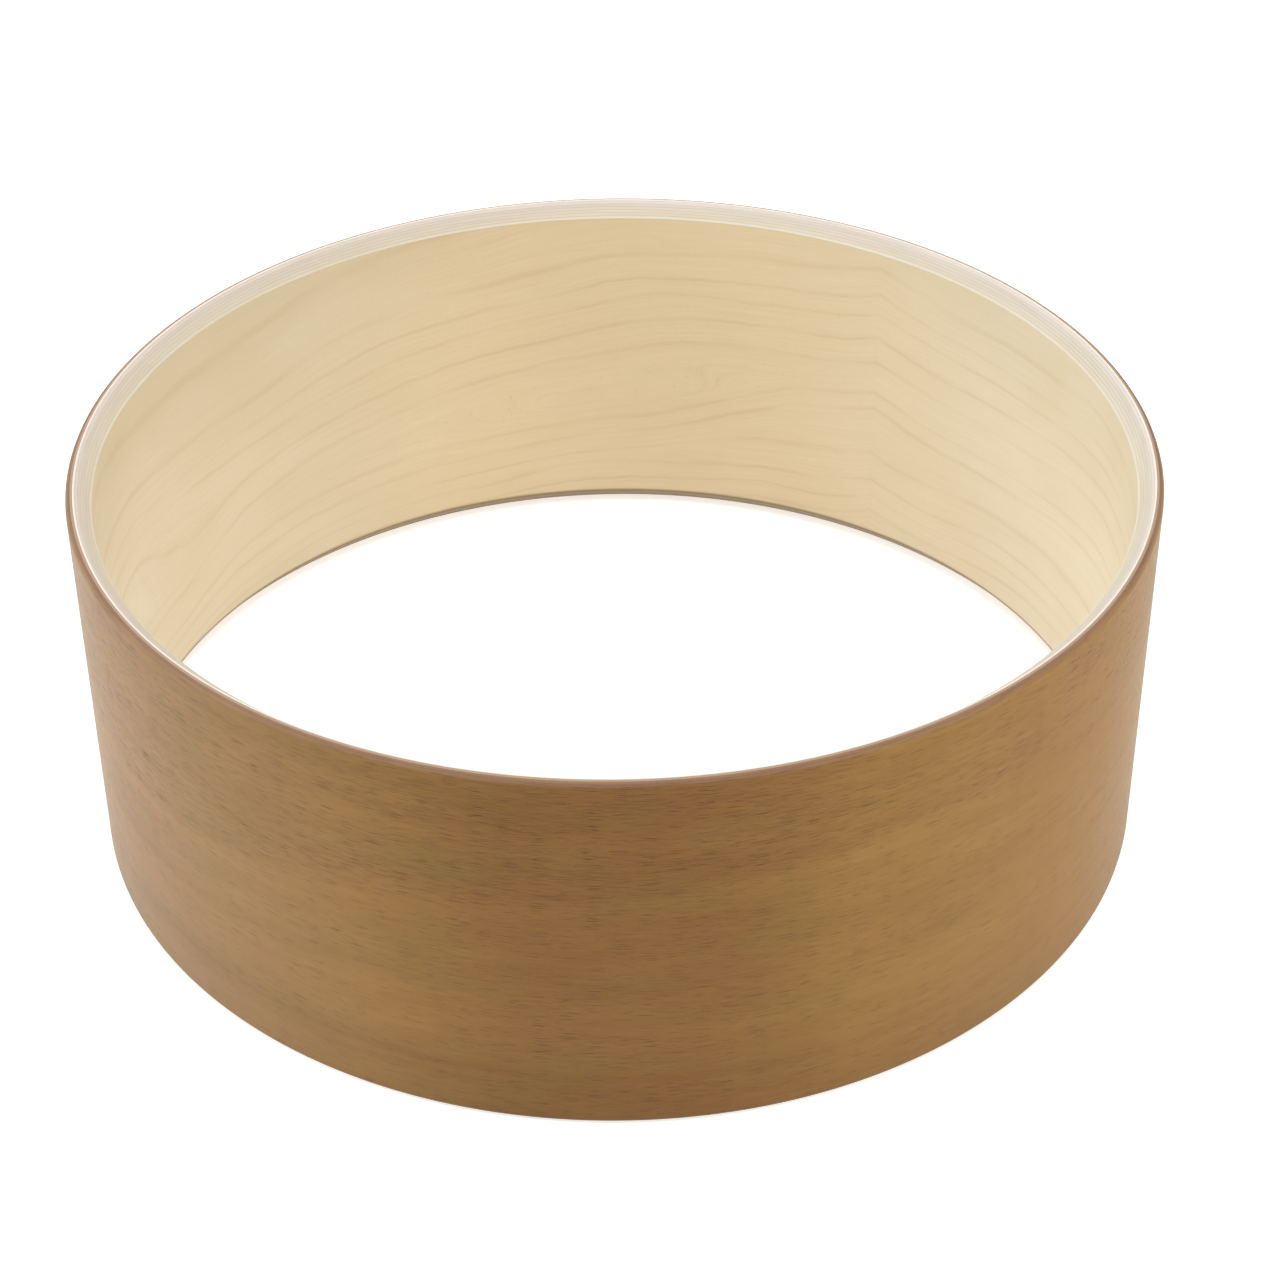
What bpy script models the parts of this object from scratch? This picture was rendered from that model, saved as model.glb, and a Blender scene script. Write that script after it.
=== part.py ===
"""Ply drum shell: ten veneer hoops, one inside the other, with machined bearing edges.

The shell stands on its lower rim, on the plane z = 0, with its axis on +Z. Every ply is a
sheet bent into a hoop whose two ends meet in a butt seam. Both rims have the same edge: a
quarter round on the outside, a narrow flat crest, and a bevel that falls to the inner face.
"""

import math

import bmesh
import bpy

# Driving dimensions, in metres and degrees.
OUTER_DIAMETER = 0.352
DEPTH = 0.130
PLY_PITCH = 0.0008        # one veneer with its glue line
GLUE_LINE = 0.0002        # clear gap between two veneers
SEAM_SLOT = 0.0003        # clear gap where the two ends of a ply meet
ROUNDED_PLIES = 3         # plies that the outer quarter round runs over
CREST_FLAT = 0.0005       # width of the flat that a head or a table touches
BEVEL_ANGLE = 45.0        # below the rim plane, towards the inner face
INNER_SEAM_ANGLE = 55.0   # seam of the inner face ply, from +X towards +Y
SEAM_STAGGER = 125.0      # turn from the seam of one ply to that of the next one out
FACETS = 96               # steps in one full turn
ARC_STEP = 15.0           # largest step along the quarter round
SMOOTH_ANGLE = 30.0

OUTER_RADIUS = OUTER_DIAMETER / 2
ROUND_RADIUS = ROUNDED_PLIES * PLY_PITCH
BEVEL_START = ROUND_RADIUS + CREST_FLAT

# Colours are linear RGB.
BROWN_FACE = (0.330, 0.175, 0.085)
BROWN_CORE = (0.400, 0.235, 0.140)
PALE_CORE = (0.700, 0.600, 0.480)
MAPLE_CORE = (0.740, 0.610, 0.420)
MAPLE_FACE = (0.730, 0.575, 0.360)

# Plies from the outside in: name, colour, roughness.
PLIES = (
    ("outer_face_veneer", BROWN_FACE, 0.50),
    ("outer_cross_ply", BROWN_CORE, 0.65),
    ("outer_core_ply", BROWN_CORE, 0.65),
    ("crest_ply", PALE_CORE, 0.65),
    ("core_ply_1", PALE_CORE, 0.65),
    ("core_ply_2", PALE_CORE, 0.65),
    ("core_ply_3", PALE_CORE, 0.65),
    ("core_ply_4", PALE_CORE, 0.65),
    ("inner_cross_ply", MAPLE_CORE, 0.60),
    ("inner_face_ply", MAPLE_FACE, 0.50),
)


def clear_scene():
    for item in list(bpy.data.objects):
        bpy.data.objects.remove(item, do_unlink=True)


def new_collection(name):
    collection = bpy.data.collections.new(name)
    bpy.context.scene.collection.children.link(collection)
    return collection


def wood(name, colour, roughness):
    material = bpy.data.materials.new(name)
    material.use_nodes = True
    shader = material.node_tree.nodes["Principled BSDF"]
    shader.inputs["Base Color"].default_value = (*colour, 1.0)
    shader.inputs["Roughness"].default_value = roughness
    shader.inputs["Metallic"].default_value = 0.0
    return material


def edge_drop(depth):
    """How far the rim lies below its crest, at a depth into the wall from the outer face."""
    if depth < ROUND_RADIUS:
        return ROUND_RADIUS - math.sqrt(ROUND_RADIUS ** 2 - (ROUND_RADIUS - depth) ** 2)
    return max(0.0, depth - BEVEL_START) * math.tan(math.radians(BEVEL_ANGLE))


def edge_depths(outer, inner):
    """Depths at which the rim of one ply needs a point, from its outer to its inner face."""
    depths = [outer]
    if outer < ROUND_RADIUS:
        end = min(inner, ROUND_RADIUS)
        first = math.acos(1.0 - outer / ROUND_RADIUS)
        last = math.acos(1.0 - end / ROUND_RADIUS)
        steps = math.ceil(math.degrees(last - first) / ARC_STEP)
        for step in range(1, steps):
            angle = first + (last - first) * step / steps
            depths.append(ROUND_RADIUS * (1.0 - math.cos(angle)))
    if outer < BEVEL_START < inner:
        depths.append(BEVEL_START)
    depths.append(inner)
    return depths


def ply_profile(outer, inner):
    """Section of one ply in the XZ plane: down its outer face, and round to the start."""
    depths = edge_depths(outer, inner)
    lower = [(OUTER_RADIUS - depth, edge_drop(depth)) for depth in depths]
    upper = [(radius, DEPTH - height) for radius, height in reversed(lower)]
    return upper[-1:] + lower + upper[:-1]


def profile_mesh(name, points):
    mesh = bpy.data.meshes.new(name)
    shape = bmesh.new()
    corners = [shape.verts.new((radius, 0.0, height)) for radius, height in points]
    for index, corner in enumerate(corners):
        shape.edges.new((corner, corners[(index + 1) % len(corners)]))
    shape.to_mesh(mesh)
    shape.free()
    return mesh


def seam_cutter(name, outer, inner, angle, collection):
    """A thin upright blade across the wall, which parts the two ends of a ply."""
    margin = GLUE_LINE
    blade = bpy.data.meshes.new(name)
    shape = bmesh.new()
    bmesh.ops.create_cube(shape, size=1.0)
    size = (inner - outer + 2 * margin, SEAM_SLOT, DEPTH + 2 * margin)
    bmesh.ops.scale(shape, vec=size, verts=shape.verts)
    shape.to_mesh(blade)
    shape.free()
    cutter = bpy.data.objects.new(name, blade)
    radius = OUTER_RADIUS - (outer + inner) / 2
    turn = math.radians(angle)
    cutter.location = (radius * math.cos(turn), radius * math.sin(turn), DEPTH / 2)
    cutter.rotation_euler = (0.0, 0.0, turn)
    cutter.hide_render = True
    cutter.display_type = "WIRE"
    collection.objects.link(cutter)
    return cutter


def turn_full_circle(ring):
    screw = ring.modifiers.new("turn", "SCREW")
    screw.axis = "Z"
    screw.angle = 2 * math.pi
    screw.steps = FACETS
    screw.render_steps = FACETS
    screw.use_merge_vertices = True
    screw.merge_threshold = 0.00001


def open_seam(ring, cutter):
    cut = ring.modifiers.new("seam", "BOOLEAN")
    cut.operation = "DIFFERENCE"
    cut.solver = "EXACT"
    cut.object = cutter


def apply_shape(ring):
    """Swap the profile for the finished mesh, and shade its round faces smooth."""
    graph = bpy.context.evaluated_depsgraph_get()
    mesh = bpy.data.meshes.new_from_object(ring.evaluated_get(graph))
    mesh.name = ring.name
    ring.modifiers.clear()
    ring.data = mesh
    mesh.shade_smooth()
    mesh.set_sharp_from_angle(angle=math.radians(SMOOTH_ANGLE))


def make_ply(number, name, colour, roughness, parts, cutters):
    """One veneer hoop. Number 0 is the outer face, and the last one the inner face."""
    last = len(PLIES) - 1
    outer = number * PLY_PITCH + (GLUE_LINE / 2 if number > 0 else 0.0)
    inner = (number + 1) * PLY_PITCH - (GLUE_LINE / 2 if number < last else 0.0)
    seam_angle = INNER_SEAM_ANGLE + (last - number) * SEAM_STAGGER
    ring = bpy.data.objects.new(name, profile_mesh(name, ply_profile(outer, inner)))
    parts.objects.link(ring)
    turn_full_circle(ring)
    open_seam(ring, seam_cutter(name + "_seam", outer, inner, seam_angle, cutters))
    apply_shape(ring)
    ring.data.materials.clear()
    ring.data.materials.append(wood(name + "_wood", colour, roughness))


def main():
    clear_scene()
    parts = new_collection("drum_shell")
    cutters = new_collection("cutters")
    for number, (name, colour, roughness) in enumerate(PLIES):
        make_ply(number, name, colour, roughness, parts, cutters)


main()
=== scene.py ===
"""Looks of a bare ply drum shell: ten fine veneer hoops, procedural woods, camera and studio."""

import math

import bmesh
import bpy
from mathutils import Matrix, Vector


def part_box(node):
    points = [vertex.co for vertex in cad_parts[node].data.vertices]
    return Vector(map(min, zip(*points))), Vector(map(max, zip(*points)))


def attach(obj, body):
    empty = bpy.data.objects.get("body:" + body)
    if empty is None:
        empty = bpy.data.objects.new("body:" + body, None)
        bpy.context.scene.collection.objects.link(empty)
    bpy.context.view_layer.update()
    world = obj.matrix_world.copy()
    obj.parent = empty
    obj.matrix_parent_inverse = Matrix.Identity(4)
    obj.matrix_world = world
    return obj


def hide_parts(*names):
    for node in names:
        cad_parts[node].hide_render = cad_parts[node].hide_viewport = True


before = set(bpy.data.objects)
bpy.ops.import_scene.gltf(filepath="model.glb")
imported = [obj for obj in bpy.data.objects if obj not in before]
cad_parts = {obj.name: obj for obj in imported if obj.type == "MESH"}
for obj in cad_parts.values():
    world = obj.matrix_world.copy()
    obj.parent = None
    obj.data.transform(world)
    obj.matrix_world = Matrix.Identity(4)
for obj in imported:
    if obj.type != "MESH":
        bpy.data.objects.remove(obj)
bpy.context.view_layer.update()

BODY = "root"
MM = 0.001

# Plies from the outer face to the inner one. Every ply stands for the CAD node of its name.
PLY_NAMES = (
    "outer_face_veneer",
    "outer_cross_ply",
    "outer_core_ply",
    "crest_ply",
    "core_ply_1",
    "core_ply_2",
    "core_ply_3",
    "core_ply_4",
    "inner_cross_ply",
    "inner_face_ply",
)
LAST_PLY = len(PLY_NAMES) - 1

# Sizes taken from the frame.
OUTER_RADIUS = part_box("outer_face_veneer")[1][0]
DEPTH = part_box("crest_ply")[1][2]
PLY_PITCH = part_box("outer_cross_ply")[1][0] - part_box("outer_core_ply")[1][0]
INNER_RADIUS = OUTER_RADIUS - len(PLY_NAMES) * PLY_PITCH
ROUND_LENGTH = 2 * math.pi * OUTER_RADIUS / MM

# The machined edge, as on the CAD solids.
ROUND_RADIUS = 3 * PLY_PITCH
CREST_FLAT = 0.5 * MM
BEVEL_START = ROUND_RADIUS + CREST_FLAT
CORNER_DROP = OUTER_RADIUS - INNER_RADIUS - BEVEL_START
INNER_SEAM_ANGLE = 55.0
SEAM_STAGGER = 125.0

# The cut edge of each ply takes its grain this many millimetres further on than the one before.
PLY_SHIFT = 57.0

# Glue lines, seams and softened corners of the finished shell.
GLUE_FILM = 0.03 * MM
SEAM_GAP = 0.02 * MM
CREST_SOFTENING = 0.25 * MM
INNER_SOFTENING = 0.3 * MM

# How fine the hoops are. Angles are in degrees.
STATIONS = 720
ARC_STEP = 6.0
FILLET_STEPS = 5
SHARP_ANGLE = 30.0

# The studio, in metres. Its gain is how much brighter it is than light that shows a surface in
# its own colour.
STUDIO_GAIN = 1.25
SKY_STRENGTH = 0.28
LAMP_DISTANCE = 1.7
FLOOR_RADIUS = 12.0
FLOOR_GLOW = 0.72

# The camera: above the front of the shell and a little to its right, with a slight roll.
# Distance and target go with the size of the shell. Angles are in degrees.
CAMERA_DISTANCE = 5.629 * OUTER_RADIUS
CAMERA_TARGET = Vector((0.0436 * OUTER_RADIUS, 0.0, 0.290 * OUTER_RADIUS))
CAMERA_ELEVATION = 35.73
CAMERA_ROLL = -0.41
FOCAL_LENGTH = 81.63


# ---------------------------------------------------------------- geometry

def edge_drop(depth):
    """How far the rim lies below its crest, at a depth into the wall from the outer face."""
    if depth < ROUND_RADIUS:
        return ROUND_RADIUS - math.sqrt(ROUND_RADIUS ** 2 - (ROUND_RADIUS - depth) ** 2)
    return max(0.0, depth - BEVEL_START)


def fillet(points, index, radius):
    """Replace one corner of an open outline by an arc of that radius."""
    before, corner, after = (Vector(points[index + step]) for step in (-1, 0, 1))
    back = (before - corner).normalized()
    ahead = (after - corner).normalized()
    half = back.angle(ahead) / 2
    reach = radius / math.tan(half)
    centre = corner + (back + ahead).normalized() * (radius / math.sin(half))
    start = corner + back * reach - centre
    turn = math.pi - 2 * half
    if start.x * ahead.y - start.y * ahead.x < 0:
        turn = -turn
    arc = []
    for step in range(FILLET_STEPS + 1):
        angle = turn * step / FILLET_STEPS
        cos, sin = math.cos(angle), math.sin(angle)
        arc.append(centre + Vector((start.x * cos - start.y * sin, start.x * sin + start.y * cos)))
    return points[:index] + [tuple(point) for point in arc] + points[index + 1:]


def rim_outline(outer, inner):
    """Lower rim of one ply as (depth, height), with a short run up both of its faces."""
    depths = [outer]
    if outer < ROUND_RADIUS:
        first = math.acos(1.0 - outer / ROUND_RADIUS)
        last = math.acos(1.0 - min(inner, ROUND_RADIUS) / ROUND_RADIUS)
        steps = math.ceil(math.degrees(last - first) / ARC_STEP)
        turns = (first + (last - first) * step / steps for step in range(1, steps))
        depths += [ROUND_RADIUS * (1.0 - math.cos(turn)) for turn in turns]
    if outer < BEVEL_START < inner:
        depths.append(BEVEL_START)
    depths.append(inner)
    half = DEPTH / 2
    outline = [(depth, edge_drop(depth)) for depth in depths]
    outline = [(outer, half)] + outline + [(inner, half)]
    if outer < BEVEL_START < inner:
        outline = fillet(outline, depths.index(BEVEL_START) + 1, CREST_SOFTENING)
    if inner >= LAST_PLY * PLY_PITCH + GLUE_FILM:
        outline = fillet(outline, len(outline) - 2, INNER_SOFTENING)
    return outline


def ply_section(outer, inner):
    """Closed section of one ply as (radius, height)."""
    lower = rim_outline(outer, inner)
    upper = [(depth, DEPTH - height) for depth, height in reversed(lower[1:-1])]
    return [(OUTER_RADIUS - depth, height) for depth, height in lower + upper]


def seam_angle(number):
    """Where the two ends of a ply meet, in degrees from +X towards +Y."""
    return (INNER_SEAM_ANGLE + (LAST_PLY - number) * SEAM_STAGGER) % 360.0


def sweep_hoop(name, section, seam):
    """A hoop that starts on one side of its seam and ends on the other."""
    shape = bmesh.new()
    gap = SEAM_GAP / OUTER_RADIUS
    start = math.radians(seam) + gap / 2
    span = 2 * math.pi - gap
    rings = []
    for station in range(STATIONS + 1):
        angle = start + span * station / STATIONS
        cos, sin = math.cos(angle), math.sin(angle)
        places = [(radius * cos, radius * sin, height) for radius, height in section]
        rings.append([shape.verts.new(place) for place in places])
    for one, two in zip(rings, rings[1:]):
        for index in range(len(section)):
            follow = (index + 1) % len(section)
            shape.faces.new((one[index], one[follow], two[follow], two[index]))
    shape.faces.new(rings[0])
    shape.faces.new(reversed(rings[-1]))
    bmesh.ops.recalc_face_normals(shape, faces=shape.faces)
    mesh = bpy.data.meshes.new(name)
    shape.to_mesh(mesh)
    shape.free()
    mesh.shade_smooth()
    mesh.set_sharp_from_angle(angle=math.radians(SHARP_ANGLE))
    return mesh


def make_ply(number, material):
    """One ply as a fine hoop, which stands for its CAD node and rides its body."""
    node = PLY_NAMES[number]
    outer = number * PLY_PITCH + (GLUE_FILM / 2 if number > 0 else 0.0)
    inner = (number + 1) * PLY_PITCH - (GLUE_FILM / 2 if number < LAST_PLY else 0.0)
    name = node + "_sheet"
    mesh = sweep_hoop(name, ply_section(outer, inner), seam_angle(number))
    hoop = bpy.data.objects.new(name, mesh)
    bpy.context.scene.collection.objects.link(hoop)
    hoop.data.materials.append(material)
    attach(hoop, BODY)
    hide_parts(node)


# ---------------------------------------------------------------- materials

class Wood:
    """A wood material under construction. Lengths on the sheet are in millimetres."""

    def __init__(self, name):
        self.material = bpy.data.materials.new(name)
        self.material.use_nodes = True
        self.tree = self.material.node_tree
        self.shader = self.tree.nodes["Principled BSDF"]

    def node(self, kind, inputs=(), **settings):
        """A shader node with numbers or other nodes' outputs fed into its inputs."""
        node = self.tree.nodes.new(kind)
        for key, value in settings.items():
            setattr(node, key, value)
        for key, value in dict(inputs).items():
            self.feed(node.inputs[key], value)
        return node

    def feed(self, socket, value):
        if isinstance(value, bpy.types.NodeSocket):
            self.tree.links.new(value, socket)
        else:
            socket.default_value = value

    def math(self, operation, *values, clamp=False):
        node = self.node("ShaderNodeMath", enumerate(values), operation=operation, use_clamp=clamp)
        return node.outputs[0]

    def add(self, *values):
        total = values[0]
        for value in values[1:]:
            total = self.math("ADD", total, value)
        return total

    def times(self, *values):
        product = values[0]
        for value in values[1:]:
            product = self.math("MULTIPLY", product, value)
        return product

    def less(self, one, two):
        return self.math("SUBTRACT", one, two)

    def between(self, amount, one, two):
        """A number that goes from one to two as the amount goes from 0 to 1."""
        return self.node("ShaderNodeMix", {0: amount, 2: one, 3: two}).outputs[0]

    def vector(self, x, y, z):
        return self.node("ShaderNodeCombineXYZ", {0: x, 1: y, 2: z}).outputs[0]

    def noise(self, place, cell, detail=2.0, roughness=0.5):
        """Noise from 0 to 1 whose cells measure cell = (x, y, z) millimetres."""
        scale = tuple(1.0 / size for size in cell)
        scaled = self.node("ShaderNodeVectorMath", {0: place, 1: scale}, operation="MULTIPLY")
        inputs = {"Vector": scaled.outputs[0], "Scale": 1.0, "Detail": detail, "Roughness": roughness}
        return self.node("ShaderNodeTexNoise", inputs).outputs[0]

    def swing(self, noise, reach):
        """Noise from 0 to 1 turned into a shift of up to that reach either way."""
        return self.math("MULTIPLY_ADD", noise, 2.0 * reach, -reach)

    def span(self, value, low, high, out_low=0.0, out_high=1.0):
        """Smooth step of a value from low..high to out_low..out_high."""
        inputs = {0: value, 1: low, 2: high, 3: out_low, 4: out_high}
        node = self.node("ShaderNodeMapRange", inputs, interpolation_type="SMOOTHSTEP")
        return node.outputs[0]

    def fade(self, value, low, high):
        """1 below low and 0 above high."""
        return self.span(value, low, high, 1.0, 0.0)

    def hill(self, value, start, rise_end, fall_start, end):
        """0 outside start..end and 1 between the two middle values."""
        return self.times(self.span(value, start, rise_end), self.fade(value, fall_start, end))

    def excess(self, value, threshold, gain):
        """How far a value is over its threshold, times the gain, held between 0 and 1."""
        return self.math("MULTIPLY", self.less(value, threshold), gain, clamp=True)

    def curve(self, value, points, width, height):
        """A smooth curve through (x, y) points, within 0..width and 0..height."""
        node = self.node("ShaderNodeFloatCurve", {"Value": self.times(value, 1.0 / width)})
        line = node.mapping.curves[0]
        places = [(x / width, y / height) for x, y in points]
        line.points[0].location = places[0]
        line.points[1].location = places[-1]
        for place in places[1:-1]:
            line.points.new(*place)
        node.mapping.update()
        return self.times(node.outputs[0], height)

    def mix(self, amount, one, two):
        """A colour that goes from one to two as the amount goes from 0 to 1."""
        node = self.node("ShaderNodeMix", data_type="RGBA")
        for socket, value in zip((node.inputs[0], node.inputs[6], node.inputs[7]), (amount, one, two)):
            self.feed(socket, value)
        return node.outputs[2]

    def tint_over(self, surface, tint, mask, strength):
        """The surface with a tint over it where the mask is 1, as strong as that."""
        return self.mix(self.times(mask, strength), surface, tint)

    def space(self):
        """The place on the shell as a vector in millimetres."""
        place = self.node("ShaderNodeTexCoord").outputs["Object"]
        scaled = self.node("ShaderNodeVectorMath", {0: place, "Scale": 1.0 / MM}, operation="SCALE")
        return scaled.outputs[0]

    def sheet(self, seam):
        """The place on the unrolled sheet: along it from the seam, up, and into the wall."""
        place = self.node("ShaderNodeTexCoord").outputs["Object"]
        turned = self.node(
            "ShaderNodeVectorRotate",
            {"Vector": place, "Angle": math.pi - math.radians(seam)},
            rotation_type="Z_AXIS",
        )
        parts = self.node("ShaderNodeSeparateXYZ", {0: turned.outputs[0]}).outputs
        turn = self.math("MULTIPLY_ADD", self.math("ARCTAN2", parts[1], parts[0]), 0.5 / math.pi, 0.5)
        square = self.add(self.times(parts[0], parts[0]), self.times(parts[1], parts[1]))
        radius = self.math("SQRT", square)
        along = self.times(turn, ROUND_LENGTH)
        up = self.times(parts[2], 1.0 / MM)
        into = self.math("MULTIPLY_ADD", radius, -1.0 / MM, OUTER_RADIUS / MM)
        return along, up, into

    def dry_fuzz(self):
        """Unfinished sanded wood: little gloss, and a faint cool bloom at grazing angles."""
        self.shader.inputs["IOR"].default_value = 1.3
        self.shader.inputs["Sheen Weight"].default_value = 0.12
        self.shader.inputs["Sheen Roughness"].default_value = 0.35
        self.shader.inputs["Sheen Tint"].default_value = (0.75, 0.88, 0.94, 1.0)

    def finish(self, surface, rough, height, relief):
        """The finished material. The relief is the depth in metres of a height of 1."""
        bump = self.node("ShaderNodeBump", {"Height": height, "Distance": relief, "Strength": 1.0})
        self.feed(self.shader.inputs["Base Color"], surface)
        self.feed(self.shader.inputs["Roughness"], rough)
        self.feed(self.shader.inputs["Normal"], bump.outputs[0])
        return self.material


def colour(red, green, blue):
    """A linear base colour from the 0 to 255 values it shows, less what the bright studio adds."""
    values = []
    for value in (red, green, blue):
        value /= 255.0
        linear = value / 12.92 if value <= 0.04045 else ((value + 0.055) / 1.055) ** 2.4
        values.append(linear / STUDIO_GAIN)
    return (*values, 1.0)


def below_rim(wood, up):
    """Distance in millimetres from the nearer rim plane."""
    middle = DEPTH / MM / 2
    return wood.less(middle, wood.math("ABSOLUTE", wood.less(up, middle)))


def cut_edge(wood, along, up, into, number, lengthwise):
    """Tone and fibres of a raw cut through a ply, whose grain runs round the shell or up it."""
    place = wood.vector(wood.add(along, PLY_SHIFT * number), up, into)
    fibre_cell = (9.0, 0.16, 0.16) if lengthwise else (0.22, 6.0, 0.16)
    fibres = wood.noise(place, fibre_cell, 3.0, 0.6)
    patches = wood.noise(place, (26.0, 9.0, 5.0))
    return wood.add(wood.times(fibres, 0.55), wood.times(patches, 0.45)), fibres


def ply_border(wood, into, number):
    """1 in the thin glue-stained lines along the glued faces of a ply, where its edge is cut."""
    outer, inner = number * PLY_PITCH / MM, (number + 1) * PLY_PITCH / MM
    near, far = 0.03, 0.11
    lines = []
    if number > 0:
        lines.append(wood.fade(into, outer + near, outer + far))
    if number < LAST_PLY:
        lines.append(wood.span(into, inner - far, inner - near))
    return wood.add(*lines)


def core_wood(number, pale, dark, lengthwise, crest_highlight):
    """A ply inside the wall, of which only the cut edge shows, with a painted highlight along its crest
    and painted shade at its lower rim.
    """
    highlight_colour, glue, shaded = colour(224, 212, 199), colour(140, 106, 76), colour(150, 128, 94)
    wood = Wood(PLY_NAMES[number] + "_wood")
    wood.dry_fuzz()
    along, up, into = wood.sheet(seam_angle(number))
    tone, fibres = cut_edge(wood, along, up, into, number, lengthwise)
    # A painted highlight along the crest.
    crest = wood.fade(below_rim(wood, up), 0.3, 0.9)
    highlight_mask = wood.times(crest, wood.span(tone, 0.2, 0.6))
    # Painted shade at the lower rim, where the bevel faces the floor.
    foot_shade = wood.fade(up, 6.0, 8.0)

    surface = wood.mix(wood.span(tone, 0.3, 0.7), pale, dark)
    surface = wood.tint_over(surface, highlight_colour, highlight_mask, crest_highlight)
    surface = wood.tint_over(surface, glue, ply_border(wood, into, number), 0.16)
    surface = wood.tint_over(surface, shaded, foot_shade, 0.85)
    rough = wood.less(wood.span(fibres, 0.2, 0.8, 0.62, 0.76), wood.times(highlight_mask, 0.12))
    return wood.finish(surface, rough, fibres, 0.01 * MM)


def brown_face(wood, along, up, into):
    """Colour of the outer face, with its streaks, fibres and pores for the gloss and the relief."""
    place = wood.vector(along, up, into)

    # A slow wander of the grain, so that no line runs dead level.
    wander = wood.swing(wood.noise(place, (320.0, 90.0, 50.0), 1.0), 4.0)
    level = wood.add(up, wander)
    grain = wood.vector(along, level, into)

    # Broad soft bands and finer streaks, all long round the shell.
    bands = wood.noise(grain, (420.0, 22.0, 50.0))
    streaks = wood.noise(grain, (150.0, 3.2, 50.0), 4.0, 0.6)
    fibres = wood.noise(grain, (13.0, 0.5, 3.0), 3.0, 0.65)
    mottle = wood.noise(place, (26.0, 8.0, 9.0))

    # The border between darker wood above and plainer wood below, climbing to one side.
    border = wood.span(along, 340.0, 665.0, 71.0, 99.0)
    above = wood.less(level, border)
    upper = wood.span(above, -3.0, 2.0)
    # Darker wood low down: partly its own tone, partly painted shade near the floor.
    lower = wood.fade(level, 8.0, 42.0)
    low_streak = wood.hill(level, 17.0, 19.0, 20.0, 23.0)
    stripe = wood.hill(above, -9.0, -1.5, -1.0, 1.0)
    # Painted shade over the front middle, a painted cool sheen on the left side and painted warm lamp
    # light on the right side.
    front_shade_stretch = wood.hill(along, 440.0, 505.0, 545.0, 605.0)
    left_sheen_stretch = wood.hill(along, 0.0, 100.0, 350.0, 480.0)
    right_light_stretch = wood.hill(along, 630.0, 700.0, 740.0, 820.0)

    # Open pores: short dark dashes, more of them in the darker wood.
    dashes = wood.noise(grain, (8.0, 0.17, 0.6), 1.5, 0.45)
    scatter = wood.noise(grain, (60.0, 9.0, 50.0))
    threshold = wood.add(
        wood.times(upper, -0.035),
        wood.times(front_shade_stretch, -0.015),
        wood.times(scatter, -0.14),
        0.73,
    )
    pores = wood.excess(dashes, threshold, 24.0)

    # How dark the wood is, with painted shade over the front middle, and the tints that drift over it.
    tone = wood.add(
        wood.times(bands, 0.26),
        wood.times(streaks, 0.18),
        wood.times(fibres, 0.37),
        wood.times(mottle, 0.24),
        wood.times(upper, 0.05),
        wood.times(lower, 0.06),
        wood.times(low_streak, 0.08),
        wood.times(stripe, -0.04),
        wood.times(front_shade_stretch, 0.23),
    )
    red_drift = wood.noise(place, (150.0, 34.0, 50.0))
    olive_drift = wood.noise(place, (40.0, 15.0, 30.0), 1.5)
    light, dark, pore = colour(172, 131, 66), colour(131, 89, 35), colour(76, 44, 0)
    red, olive = colour(154, 100, 54), colour(138, 110, 44)
    sheen_grey, warm_light_amber = colour(150, 118, 98), colour(158, 108, 16)
    face = wood.mix(wood.span(tone, 0.20, 1.0), light, dark)
    face = wood.mix(wood.span(red_drift, 0.35, 0.7, 0.0, 0.26), face, red)
    face = wood.mix(wood.span(olive_drift, 0.45, 0.75, 0.0, 0.35), face, olive)
    # Painted cool sheen on the left side and painted warm lamp light on the right side.
    face = wood.tint_over(face, sheen_grey, left_sheen_stretch, 0.30)
    face = wood.tint_over(face, warm_light_amber, right_light_stretch, 0.50)
    face = wood.tint_over(face, pore, pores, 0.70)
    return face, streaks, fibres, pores


def brown_face_wood():
    """The outer veneer, whose machined edge turns paler and a little redder towards the crest."""
    light, dark = colour(152, 118, 96), colour(130, 97, 76)
    glue, shaded = colour(112, 78, 54), colour(112, 90, 70)
    wood = Wood("outer_face_veneer_wood")
    wood.dry_fuzz()
    along, up, into = wood.sheet(seam_angle(0))
    face, streaks, fibres, pores = brown_face(wood, along, up, into)

    rim = wood.fade(below_rim(wood, up), 0.5, 2.3)
    # Painted shade on the lower round-over, next to the floor.
    foot_shade = wood.fade(up, 0.8, 3.0)
    cut, _ = cut_edge(wood, along, up, into, 0, lengthwise=True)
    edge = wood.mix(wood.span(cut, 0.3, 0.7), light, dark)
    surface = wood.tint_over(face, edge, rim, 0.8)
    surface = wood.tint_over(surface, glue, wood.times(ply_border(wood, into, 0), rim), 0.25)
    surface = wood.tint_over(surface, shaded, foot_shade, 0.6)

    rough = wood.add(wood.times(streaks, 0.14), wood.times(pores, 0.16), wood.times(rim, 0.10), 0.42)
    height = wood.add(wood.times(fibres, 0.35), wood.times(pores, -1.0), wood.times(streaks, 0.2))
    return wood.finish(surface, rough, height, 0.05 * MM)


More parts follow.
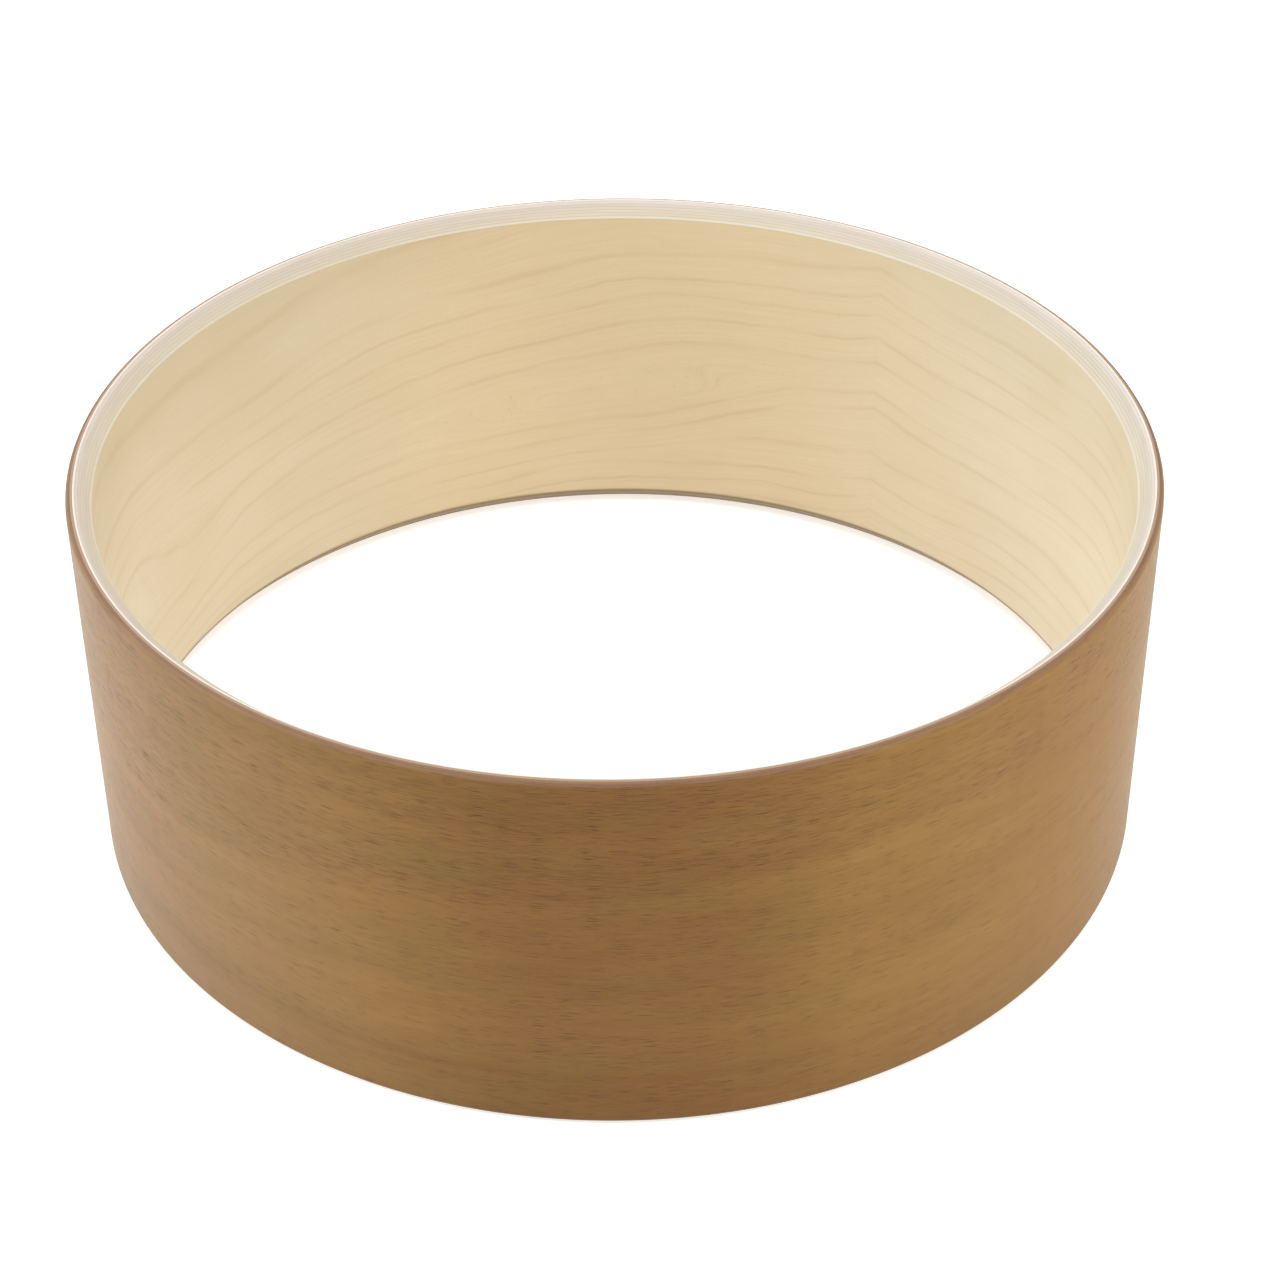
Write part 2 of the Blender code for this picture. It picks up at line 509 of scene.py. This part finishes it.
def maple_growth(wood, past_seam, up, space):
    """Growth-line number over the inner face: it rises by one from each thin line to the next."""
    width, tallest, before_seam = 1100.0, 70.0, 300.0
    place = wood.add(past_seam, before_seam)

    # How far the lines lie below their height at the seam, for four bands of lines. The curves
    # start before the seam and run once round the shell.
    top = wood.curve(place, (
        (0, 22), (150, 9), (200, 12), (240, 14), (300, 12), (345, 12), (375, 14), (400, 15), (420, 18),
        (460, 24), (500, 28), (540, 34), (580, 38), (620, 38), (660, 33), (800, 30), (1100, 22),
    ), width, tallest)
    middle = wood.curve(place, (
        (0, 20), (150, 4), (190, 7), (240, 13), (300, 12), (345, 12), (375, 14), (400, 17), (420, 20),
        (460, 25), (500, 31), (540, 37), (570, 42), (600, 50), (640, 55), (800, 44), (1100, 20),
    ), width, tallest)
    lower = wood.curve(place, (
        (0, 22), (150, 4), (190, 7), (240, 13), (300, 12), (330, 13), (345, 17), (360, 22), (380, 28),
        (400, 32), (420, 34), (460, 37), (520, 40), (580, 45), (640, 50), (800, 42), (1100, 22),
    ), width, tallest)
    bottom = wood.curve(place, (
        (0, 12), (150, 5), (240, 6), (300, 12), (340, 11), (360, 13), (400, 15), (460, 18),
        (520, 20), (620, 24), (800, 20), (1100, 12),
    ), width, tallest)

    # Close to the seam the lines climb a little further, to a peak.
    peak_reach, peak_height, peak_base = 40.0, 7.0, 5.0
    off_seam = wood.math("MULTIPLY", wood.math("ABSOLUTE", past_seam), 1.0 / peak_reach, clamp=True)
    near_seam = wood.math("POWER", wood.less(1.0, off_seam), 2.0)
    peak = wood.math("MULTIPLY_ADD", near_seam, -peak_height, -peak_base)

    # The four bands blend into one another by their heights at the seam.
    by_middle = wood.add(up, peak, middle)
    by_lower = wood.add(up, peak, lower)
    fall = wood.between(wood.span(by_lower, 48.0, 59.0), bottom, lower)
    fall = wood.between(wood.span(by_middle, 58.0, 76.0), fall, middle)
    fall = wood.between(wood.span(by_middle, 82.0, 116.0), fall, top)
    wander = wood.swing(wood.noise(space, (60.0, 60.0, 30.0), 1.0), 3.0)
    ripple = wood.swing(wood.noise(space, (9.0, 9.0, 9.0)), 0.7)
    level = wood.add(up, peak, fall, wander, ripple)

    # Heights at the seam of the lines 1, 2, 3 and so on.
    number = wood.curve(level, (
        (0, 0), (14, 1), (21, 2), (28, 3), (40, 4), (60, 5), (67, 6), (81, 7), (91.5, 8),
        (101.5, 9), (109, 10), (119.5, 11), (145, 12), (170, 13),
    ), 170.0, 13.0)
    return number, level


def maple_face(wood, along, up, into, space):
    """Colour of the inner face, with its silk, flecks and lines for the gloss and the relief."""
    # Distance past the seam. It is negative over the last 306 mm before the seam.
    furthest = 800.0
    past_seam = wood.math("WRAP", along, furthest, furthest - ROUND_LENGTH)
    number, level = maple_growth(wood, past_seam, up, space)

    # A soft thin line at every whole number, and fainter ones between them.
    off_line = wood.math("PINGPONG", number, 0.5)
    off_faint = wood.math("PINGPONG", wood.add(wood.times(number, 3.0), 0.8), 0.5)
    thin = wood.fade(off_line, 0.0, 0.13)
    broad = wood.fade(off_line, 0.0, 0.42)
    faint = wood.fade(off_faint, 0.0, 0.3)
    strength = wood.noise(space, (45.0, 45.0, 9.0))
    strong = wood.span(strength, 0.30, 0.66)
    lines = wood.add(
        wood.times(thin, wood.add(wood.times(strong, 0.13), 0.03)),
        wood.times(broad, strong, 0.05),
        wood.times(faint, wood.span(strength, 0.40, 0.72, 0.03, 0.0)),
    )

    # Silky figure, short flecks and slow patches of tone.
    grain = wood.vector(along, level, into)
    silk = wood.noise(grain, (34.0, 0.7, 50.0), 3.0, 0.6)
    flecks = wood.excess(wood.noise(grain, (2.6, 0.22, 0.5), 1.0, 0.4), 0.66, 16.0)
    patches = wood.noise(space, (60.0, 60.0, 30.0))
    # Painted warm light over the back of the inner face.
    warm = wood.hill(past_seam, -70.0, 60.0, 150.0, 250.0)

    light, dark, warm_light_golden = colour(225, 210, 182), colour(221, 205, 174), colour(242, 218, 176)
    silky, fleck, line = colour(211, 193, 160), colour(176, 146, 104), colour(186, 150, 100)
    face = wood.mix(wood.span(patches, 0.3, 0.7), light, dark)
    face = wood.tint_over(face, warm_light_golden, warm, 0.6)
    face = wood.mix(wood.span(silk, 0.3, 0.75, 0.0, 0.25), face, silky)
    face = wood.tint_over(face, fleck, flecks, 0.16)
    face = wood.mix(lines, face, line)
    return face, silk, flecks, thin


def maple_face_wood():
    """The inner face ply, whose bevel is a raw cut, with a painted highlight on its inner corner and
    painted shade at its lower rim.
    """
    light, dark, bright = colour(206, 197, 182), colour(197, 186, 168), colour(216, 208, 190)
    glue, shaded = colour(150, 112, 74), colour(130, 106, 72)
    wood = Wood("inner_face_ply_wood")
    wood.shader.inputs["IOR"].default_value = 1.4
    along, up, into = wood.sheet(seam_angle(LAST_PLY))
    space = wood.space()
    face, silk, flecks, thin = maple_face(wood, along, up, into, space)

    depth = below_rim(wood, up)
    corner = CORNER_DROP / MM
    rim = wood.fade(depth, corner - 0.1, corner + 0.3)
    # Painted shade at the lower rim.
    foot_shade = wood.fade(up, 5.2, 6.5)
    # A painted highlight on the corner between the bevel and the inner face.
    highlight_noise = wood.noise(space, (12.0, 12.0, 12.0))
    highlight_mask = wood.times(
        wood.hill(depth, corner - 0.7, corner - 0.2, corner, corner + 0.5),
        wood.span(highlight_noise, 0.2, 0.6, 0.5, 1.0),
    )
    cut, _ = cut_edge(wood, along, up, into, LAST_PLY, lengthwise=True)
    edge = wood.mix(wood.span(cut, 0.3, 0.7), light, dark)
    surface = wood.mix(rim, face, edge)
    surface = wood.tint_over(surface, bright, highlight_mask, 0.5)
    surface = wood.tint_over(surface, glue, wood.times(ply_border(wood, into, LAST_PLY), rim), 0.20)
    surface = wood.tint_over(surface, shaded, foot_shade, 0.85)

    rough = wood.add(wood.times(silk, 0.12), wood.times(rim, 0.25), wood.times(highlight_mask, -0.06), 0.44)
    height = wood.add(wood.times(silk, 0.5), wood.times(flecks, -0.6), wood.times(thin, 0.2))
    return wood.finish(surface, rough, height, 0.02 * MM)


def ply_materials():
    """One wood per ply, from the outside in."""
    brown = colour(142, 110, 84), colour(122, 90, 66)
    tan = colour(158, 129, 104), colour(140, 111, 87)
    pale = colour(211, 201, 194), colour(203, 193, 186)
    warm = colour(205, 195, 181), colour(196, 185, 170)
    cream = colour(207, 197, 179), colour(199, 185, 162)

    # Shades, whether the grain runs round the shell, and how strong the painted highlight along the
    # crest is.
    looks = (
        (brown, False, 0.0),
        (tan, True, 0.15),
        (pale, False, 0.8),
        (pale, True, 0.0),
        (warm, True, 0.0),
        (warm, False, 0.0),
        (warm, True, 0.0),
        (cream, False, 0.0),
    )
    woods = [brown_face_wood()]
    for number, (shades, lengthwise, crest_highlight) in enumerate(looks, start=1):
        woods.append(core_wood(number, *shades, lengthwise, crest_highlight))
    woods.append(maple_face_wood())
    return woods


# ---------------------------------------------------------------- studio and camera

def make_floor():
    """A plain floor that glows, so that it stays white inside the shell too."""
    material = bpy.data.materials.new("floor_white")
    material.use_nodes = True
    shader = material.node_tree.nodes["Principled BSDF"]
    shader.inputs["Base Color"].default_value = (0.50, 0.49, 0.48, 1.0)
    shader.inputs["Roughness"].default_value = 0.9
    shader.inputs["Emission Color"].default_value = (1.0, 0.96, 0.91, 1.0)
    shader.inputs["Emission Strength"].default_value = FLOOR_GLOW
    shape = bmesh.new()
    bmesh.ops.create_circle(shape, cap_ends=True, radius=FLOOR_RADIUS, segments=64)
    mesh = bpy.data.meshes.new("floor")
    shape.to_mesh(mesh)
    shape.free()
    mesh.materials.append(material)
    floor = bpy.data.objects.new("floor", mesh)
    bpy.context.scene.collection.objects.link(floor)


def softbox(name, azimuth, elevation, size, watts, tint):
    """A square lamp that looks at the middle of the shell. Azimuth 0 is +X, and 90 is +Y."""
    light = bpy.data.lights.new(name, "AREA")
    light.shape = "SQUARE"
    light.size = size
    light.energy = watts
    light.color = tint
    turn, tilt = math.radians(azimuth), math.radians(elevation)
    out = Vector((math.cos(tilt) * math.cos(turn), math.cos(tilt) * math.sin(turn), math.sin(tilt)))
    lamp = bpy.data.objects.new(name, light)
    lamp.location = out * LAMP_DISTANCE
    aim = Vector((0.0, 0.0, DEPTH / 2)) - lamp.location
    lamp.rotation_euler = aim.to_track_quat("-Z", "Y").to_euler()
    bpy.context.scene.collection.objects.link(lamp)


def make_lights():
    """A pale sky, a large lamp overhead and a smaller one on either side."""
    world = bpy.data.worlds.new("studio")
    world.use_nodes = True
    sky = world.node_tree.nodes["Background"]
    sky.inputs["Color"].default_value = (1.0, 1.0, 1.0, 1.0)
    sky.inputs["Strength"].default_value = SKY_STRENGTH * STUDIO_GAIN
    bpy.context.scene.world = world
    softbox("top_softbox", azimuth=90.0, elevation=88.3, size=1.5, watts=36.0, tint=(1.0, 1.0, 0.96))
    softbox("left_softbox", azimuth=180.0, elevation=28.0, size=0.9, watts=18.0, tint=(0.93, 1.0, 1.06))
    softbox("right_softbox", azimuth=340.0, elevation=28.0, size=0.9, watts=10.7, tint=(1.0, 0.98, 0.90))


def make_camera():
    """The camera, at its distance from the target and rolled a little."""
    data = bpy.data.cameras.new("camera")
    data.lens = FOCAL_LENGTH
    camera = bpy.data.objects.new("camera", data)
    elevation, roll = math.radians(CAMERA_ELEVATION), math.radians(CAMERA_ROLL)
    away = Vector((0.0, -math.cos(elevation), math.sin(elevation)))
    camera.matrix_world = (
        Matrix.Translation(CAMERA_TARGET + away * CAMERA_DISTANCE)
        @ Matrix.Rotation(math.pi / 2 - elevation, 4, "X")
        @ Matrix.Rotation(roll, 4, "Z")
    )
    bpy.context.scene.collection.objects.link(camera)
    bpy.context.scene.camera = camera


def main():
    for number, material in enumerate(ply_materials()):
        make_ply(number, material)
    make_floor()
    make_lights()
    make_camera()
    bpy.context.scene.view_settings.view_transform = "Standard"


main()
